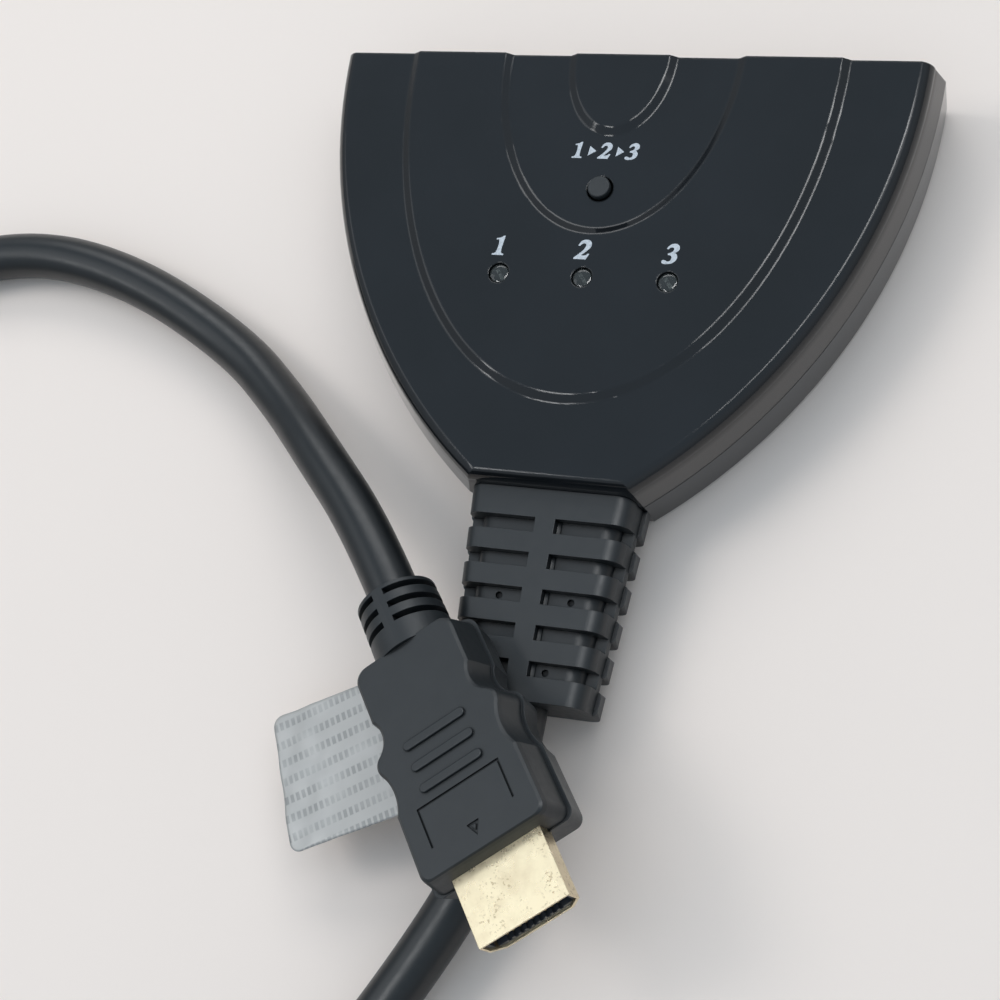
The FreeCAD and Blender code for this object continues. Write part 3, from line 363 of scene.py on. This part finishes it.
top_finish = gloss_black("gloss_black_top", polished_sides=True)
bottom_finish = gloss_black("gloss_black_bottom")
moulding_finish = soft_moulding("soft_moulding", 0.011, 0.43, 0.006)
lead_finish = soft_moulding("lead_jacket", 0.007, 0.34, 0.003)
steel_finish = plated("plated_steel", (0.62, 0.61, 0.60), (0.42, 0.41, 0.40), 0.30)
gilt_finish = worn_gilt()
contact_finish = plated("contact_gilt", (0.90, 0.66, 0.30), (0.62, 0.45, 0.20), 0.25)
plug_nylon_finish = plain("plug_nylon", (0.030, 0.034, 0.042), (0.046, 0.051, 0.060), 0.45)
nylon_finish = plain("black_nylon", (0.014, 0.014, 0.016), (0.03, 0.03, 0.033), 0.45)
chip_finish = plain("chip_black", (0.018, 0.018, 0.020), (0.04, 0.04, 0.042), 0.55)
board_finish = plain("board_green", (0.012, 0.10, 0.035), (0.03, 0.18, 0.07), 0.32, 0.5)
ceramic_finish = plain("fired_ceramic", (0.33, 0.22, 0.13), (0.52, 0.38, 0.24), 0.5)
wire_finish = plain("wire_cores", (0.42, 0.42, 0.40), (0.66, 0.65, 0.60), 0.4)
inner_mould_finish = plain("milky_mould", (0.60, 0.60, 0.55), (0.74, 0.74, 0.70), 0.42)
button_finish = soft_moulding("button_cap", 0.014, 0.60, 0.004)
lens_finish = clear_lens()
frame_finish = plain("lamp_frame", (0.42, 0.43, 0.42), (0.60, 0.61, 0.60), 0.40)
seal_finish = seal_film()
ink_finish = print_ink()

dress(["top_cover"], top_finish)
dress(["bottom_cover"], bottom_finish)
dress(["strain_relief", "plug_moulding"], moulding_finish)
dress(["jacket_end", "plug_jacket_end"], lead_finish)
dress(numbered("socket_shell") + ["tact_switch_plate", "tact_switch_legs", "lamp_legs", "housing_screws",
      "switch_chip_leads", "crystal_can"], steel_finish)
dress(["plug_shell"], gilt_finish)
dress(numbered("socket_contacts") + ["plug_contacts"], contact_finish)
dress(["plug_insulator"], plug_nylon_finish)
dress(numbered("socket_insulator") + ["tact_switch_body", "tact_plunger"], nylon_finish)
dress(["switch_chip", "control_chip", "resistors"], chip_finish)
dress(["main_board"], board_finish)
dress(["capacitors"], ceramic_finish)
dress(["inner_wires", "plug_wires"], wire_finish)
dress(["plug_inner_mould"], inner_mould_finish)
dress(["select_button"], button_finish)


def add_object(name, data, material):
    """A new object in the scene, in this material."""
    piece = bpy.data.objects.new(name, data)
    bpy.context.scene.collection.objects.link(piece)
    data.materials.append(material)
    return piece


def free_lead():
    """The lead on one smooth curve, out of the strain relief and back to the plug's collar."""
    matrix = plug_matrix()
    before = matrix @ (Vector((0, collar_end + cord_last_run, 0)) * mm)
    end = matrix @ (Vector((0, collar_end, 0)) * mm)
    points = [Vector(point) * mm for point in cord_route] + [before, end]
    curve = bpy.data.curves.new("lead_curve", "CURVE")
    curve.dimensions = "3D"
    spline = curve.splines.new("NURBS")
    spline.points.add(len(points) - 1)
    for control, point in zip(spline.points, points):
        control.co = (*point, 1.0)
    spline.order_u = 3
    spline.use_endpoint_u = True
    spline.resolution_u = 24
    spline.use_smooth = True
    curve.bevel_depth = cord_diameter / 2 * mm
    curve.bevel_resolution = 10
    return add_object("free_lead", curve, lead_finish)


lead = free_lead()
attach(lead, "housing")
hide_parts("pigtail_cord")


def block(size, place):
    """Corners and faces of a box, in millimetres, its middle at place."""
    corners = [Vector((place[n] + way[n] * size[n] / 2 for n in range(3)))
               for way in ((-1, -1, -1), (1, -1, -1), (1, 1, -1), (-1, 1, -1),
                           (-1, -1, 1), (1, -1, 1), (1, 1, 1), (-1, 1, 1))]
    faces = [(3, 2, 1, 0), (4, 5, 6, 7), (0, 1, 5, 4), (1, 2, 6, 5), (2, 3, 7, 6), (3, 0, 4, 7)]
    return corners, faces


# Lamps: the lens, and the plates inside it as their size and place along the turned frame
lens_radius = 1.45
lens_foot = 10.4
lens_rise = 0.26             # of the low dome above its edge
lens_segments = 48
dome_rings = 8
frame_turn = -52.0
frame_depth = 0.75           # plates under the top of the lens
frame_plates = (((1.0, 0.5, 2.4), 0.42), ((0.55, 0.5, 2.1), -0.62))


def lens_mesh(name):
    """A closed round lens with a low dome, turned about the vertical."""
    edge = lamp_top - lens_rise
    profile = [(lens_radius, lens_foot), (lens_radius, edge)]
    for ring in range(1, dome_rings):
        angle = ring / dome_rings * math.pi / 2
        profile.append((lens_radius * math.cos(angle), edge + lens_rise * math.sin(angle)))
    points = [Vector((0.0, 0.0, lens_foot))]
    for radius, height in profile:
        for k in range(lens_segments):
            turn = 2 * math.pi * k / lens_segments
            points.append(Vector((radius * math.cos(turn), radius * math.sin(turn), height)))
    points.append(Vector((0.0, 0.0, lamp_top)))
    faces = []
    for k in range(lens_segments):
        after = (k + 1) % lens_segments
        faces.append((0, 1 + after, 1 + k))
        for level in range(len(profile) - 1):
            low, high = 1 + level * lens_segments, 1 + (level + 1) * lens_segments
            faces.append((low + k, low + after, high + after, high + k))
        last = 1 + (len(profile) - 1) * lens_segments
        faces.append((last + k, last + after, len(points) - 1))
    mesh = bpy.data.meshes.new(name)
    mesh.from_pydata([point * mm for point in points], [], faces)
    on_dome = [face.normal.z > 0.05 for face in mesh.polygons]
    mesh.polygons.foreach_set("use_smooth", on_dome)
    return mesh


def plates_mesh(name):
    """The two plates inside a lamp's lens, the wider one with the light's cup."""
    corners, faces = [], []
    for size, offset in frame_plates:
        more, sides = block(size, (offset, 0.0, lamp_top - frame_depth - size[2] / 2))
        faces += [tuple(len(corners) + k for k in side) for side in sides]
        corners += more
    turn = Matrix.Rotation(math.radians(frame_turn), 4, "Z")
    mesh = bpy.data.meshes.new(name)
    mesh.from_pydata([turn @ (corner * mm) for corner in corners], [], faces)
    return mesh


for number, x in enumerate((-lamp_pitch, 0.0, lamp_pitch), start=1):
    place = Matrix.Translation(Vector((x, back_y - lamp_back, 0.0)) * mm)
    lens_data = lens_mesh(f"lamp_lens_{number}")
    lens_data.transform(place)
    lens = add_object(f"lamp_lens_{number}", lens_data, lens_finish)
    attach(lens, "housing")
    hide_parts(f"lamp_{number}")
    plates_data = plates_mesh(f"lamp_frame_{number}")
    plates_data.transform(place)
    plates = add_object(f"lamp_frame_{number}", plates_data, frame_finish)
    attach(plates, "housing")


def seal_outline(u, v):
    """Place on the seal, its corners rounded, for shares u and v from minus one to one."""
    half_x, half_y = seal_size[0] / 2, seal_size[1] / 2
    x, y = u * half_x, v * half_y
    over_x, over_y = abs(x) - (half_x - seal_corner), abs(y) - (half_y - seal_corner)
    if over_x > 0 and over_y > 0:
        reach = math.hypot(over_x, over_y)
        largest = max(over_x, over_y)
        x -= math.copysign(over_x * (1 - largest / reach), x)
        y -= math.copysign(over_y * (1 - largest / reach), y)
    return x, y


# Film of the seal
seal_drop = 0.14             # its middle under the plug
seal_thickness = 0.12
seal_cells = (60, 46)
crease_start = 1.0           # wrinkles start here, from the seal's middle towards its free end
crease_full = 6.0            # and have their full height from here
crease_waves = ((0.10, 0.55, 0.9, 0.0), (0.07, 1.3, -0.5, 1.0))   # height, rise along x and y, and phase


def crease(x, y):
    """Height of the film's soft wrinkles, none where the plug holds it."""
    free = min(1.0, max(0.0, (-x - crease_start) / (crease_full - crease_start)))
    return free * sum(height * math.sin(along_x * x + along_y * y + phase)
                      for height, along_x, along_y, phase in crease_waves)


def film_seal():
    """The seal as a thin creased sheet in the place of its flat solid."""
    columns, rows = seal_cells
    matrix = plug_matrix() @ Matrix.Translation(Vector((*seal_middle, -plug_half_height - seal_drop)) * mm)
    matrix = matrix @ Matrix.Rotation(math.radians(seal_turn), 4, "Z")
    points = []
    for j in range(rows + 1):
        for i in range(columns + 1):
            x, y = seal_outline(2 * i / columns - 1, 2 * j / rows - 1)
            points.append(matrix @ (Vector((x, y, crease(x, y))) * mm))
    faces = []
    for j in range(rows):
        for i in range(columns):
            a = j * (columns + 1) + i
            faces.append((a, a + 1, a + columns + 2, a + columns + 1))
    mesh = bpy.data.meshes.new("film_seal")
    mesh.from_pydata(points, [], faces)
    mesh.polygons.foreach_set("use_smooth", [True] * len(mesh.polygons))
    piece = add_object("film_seal", mesh, seal_finish)
    skin = piece.modifiers.new("thickness", "SOLIDIFY")
    skin.thickness = seal_thickness * mm
    skin.offset = 0.0
    return piece


seal = film_seal()
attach(seal, "housing")
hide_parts("seal_label")

# Numerals as outlines on a unit height: x, y, and whether the point is a corner
one_outline = (
    (0.03, 0.00, True), (0.60, 0.00, True), (0.60, 0.05, True), (0.48, 0.09, False), (0.44, 0.17, False),
    (0.44, 1.00, True), (0.38, 1.00, True), (0.26, 0.91, False), (0.06, 0.86, True), (0.06, 0.81, True),
    (0.17, 0.82, False), (0.21, 0.76, False), (0.21, 0.17, False), (0.16, 0.09, False), (0.03, 0.05, True),
)
two_outline = (
    (-0.02, 0.00, True), (0.58, 0.00, True), (0.68, 0.27, True), (0.62, 0.28, True), (0.52, 0.19, False),
    (0.26, 0.18, True), (0.52, 0.44, False), (0.68, 0.71, False), (0.60, 0.93, False), (0.38, 1.00, False),
    (0.16, 0.92, False), (0.05, 0.70, True), (0.11, 0.68, True), (0.27, 0.83, False), (0.42, 0.77, False),
    (0.42, 0.60, False), (0.24, 0.32, False), (-0.02, 0.06, True),
)
three_outline = (
    (0.24, -0.02, False), (0.50, 0.05, False), (0.65, 0.27, False), (0.60, 0.46, False), (0.46, 0.56, True),
    (0.62, 0.66, False), (0.66, 0.80, False), (0.58, 0.95, False), (0.38, 1.01, False), (0.18, 0.93, False),
    (0.07, 0.76, True), (0.12, 0.73, True), (0.26, 0.84, False), (0.40, 0.80, False), (0.42, 0.68, False),
    (0.34, 0.57, False), (0.18, 0.50, True), (0.19, 0.45, True), (0.36, 0.40, False), (0.41, 0.26, False),
    (0.34, 0.11, False), (0.22, 0.09, False), (0.12, 0.14, False), (0.00, 0.14, False), (-0.03, 0.06, False),
    (0.06, -0.01, False),
)
arrow_outline = ((0.05, 0.18, True), (0.45, 0.46, True), (0.05, 0.74, True))


def printed(name, outlines, height, face_z):
    """Flat printed marks, slanted like italics: each an outline with its left, foot and size."""
    curve = bpy.data.curves.new(name, "CURVE")
    curve.dimensions = "2D"
    curve.fill_mode = "BOTH"
    curve.resolution_u = 6
    for outline, left, foot, size in outlines:
        spline = curve.splines.new("BEZIER")
        spline.bezier_points.add(len(outline) - 1)
        spline.use_cyclic_u = True
        for point, (x, y, corner) in zip(spline.bezier_points, outline):
            point.co = ((left + size * (x + ink_slant * y)) * mm, (foot + size * y) * mm, 0.0)
            kind = "VECTOR" if corner else "AUTO"
            point.handle_left_type = kind
            point.handle_right_type = kind
    curve.extrude = height * mm
    curve.offset = ink_spread * mm
    holder = bpy.data.objects.new(name + "_curve", curve)
    bpy.context.scene.collection.objects.link(holder)
    bpy.context.view_layer.update()
    depsgraph = bpy.context.evaluated_depsgraph_get()
    mesh = bpy.data.meshes.new_from_object(holder.evaluated_get(depsgraph))
    mesh.name = name
    mesh.transform(Matrix.Translation((0, 0, face_z * mm)))
    bpy.data.objects.remove(holder)
    mesh.materials.clear()
    piece = add_object(name, mesh, ink_finish)
    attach(piece, "housing")


# Places of the printing: across from the middle, and behind from the back face
ink_thickness = 0.02
ink_spread = 0.038
ink_slant = 0.10
numeral_size = 2.95
numeral_back = 30.9
numeral_middles = (-12.9, -0.4, 12.5)
numeral_half_width = 0.42    # as a share of its size
cycle_size = 2.5
cycle_back = 15.1
cycle_digit_lefts = (-5.2, -1.2, 2.9)
cycle_arrow_lefts = (-2.9, 1.3)
digits = (one_outline, two_outline, three_outline)

numeral_foot = back_y - numeral_back - numeral_size / 2
for number, (outline, middle) in enumerate(zip(digits, numeral_middles), start=1):
    left = middle - numeral_half_width * numeral_size
    printed(f"numeral_{number}", [(outline, left, numeral_foot, numeral_size)], ink_thickness, band_face)
cycle_foot = back_y - cycle_back - cycle_size / 2
cycle_marks = [(outline, left, cycle_foot, cycle_size) for outline, left in zip(digits, cycle_digit_lefts)]
cycle_marks += [(arrow_outline, left, cycle_foot, cycle_size) for left in cycle_arrow_lefts]
printed("select_marks", cycle_marks, ink_thickness, low_face)


def sky():
    """Even room light, dimmer towards the horizon and bluer overhead."""
    world = bpy.data.worlds.new("studio")
    bpy.context.scene.world = world
    world.use_nodes = True
    nodes = world.node_tree.nodes
    links = world.node_tree.links
    place = nodes.new("ShaderNodeTexCoord").outputs["Generated"]
    split = nodes.new("ShaderNodeSeparateXYZ")
    links.new(place, split.inputs["Vector"])
    fade = nodes.new("ShaderNodeValToRGB")
    fade.color_ramp.elements.new(0.5)
    for element, (share, colour) in zip(fade.color_ramp.elements, room_colours):
        element.position = share
        element.color = (*colour, 1.0)
    links.new(split.outputs["Z"], fade.inputs["Fac"])
    background = nodes["Background"]
    links.new(fade.outputs["Color"], background.inputs["Color"])
    background.inputs["Strength"].default_value = 1.0


def area_light(name, place, size, power):
    """Rectangular light that faces the housing."""
    light = bpy.data.lights.new(name, "AREA")
    light.shape = "RECTANGLE"
    light.size, light.size_y = size
    light.energy = power
    lamp = bpy.data.objects.new(name, light)
    lamp.location = place
    lamp.rotation_euler = (-Vector(place)).to_track_quat("-Z", "Y").to_euler()
    bpy.context.scene.collection.objects.link(lamp)
    return lamp


def studio():
    """Pale floor, the room's light and large soft lights."""
    floor_mesh = bpy.data.meshes.new("floor")
    corners = [(x * floor_reach, y * floor_reach, 0) for x, y in ((-1, -1), (1, -1), (1, 1), (-1, 1))]
    floor_mesh.from_pydata(corners, [], [(0, 1, 2, 3)])
    floor_finish = Finish("pale_floor", floor_colour, 0.6)
    paler = tuple(1.02 * part for part in floor_colour)
    floor_finish.colour(floor_finish.noise(0.01, 2.0), ((0.2, floor_colour), (0.8, paler)))
    floor = add_object("floor", floor_mesh, floor_finish.material)
    floor.location.z = -floor_drop * mm
    sky()
    for light in soft_lights:
        area_light(*light)
    for light in high_lights:
        area_light(*light).visible_glossy = False
    for light in edge_lights:
        area_light(*light).visible_diffuse = False
    bpy.context.scene.view_settings.view_transform = "Standard"


def camera():
    """Camera that sees the object as the photograph does."""
    data = bpy.data.cameras.new("camera")
    data.sensor_width = camera_sensor
    data.lens = camera_lens
    data.clip_start = 0.01
    eye = bpy.data.objects.new("camera", data)
    eye.location = Vector(camera_place) * mm
    eye.rotation_euler = Euler([math.radians(angle) for angle in camera_angles], "XYZ")
    bpy.context.scene.collection.objects.link(eye)
    bpy.context.scene.camera = eye


studio()
camera()
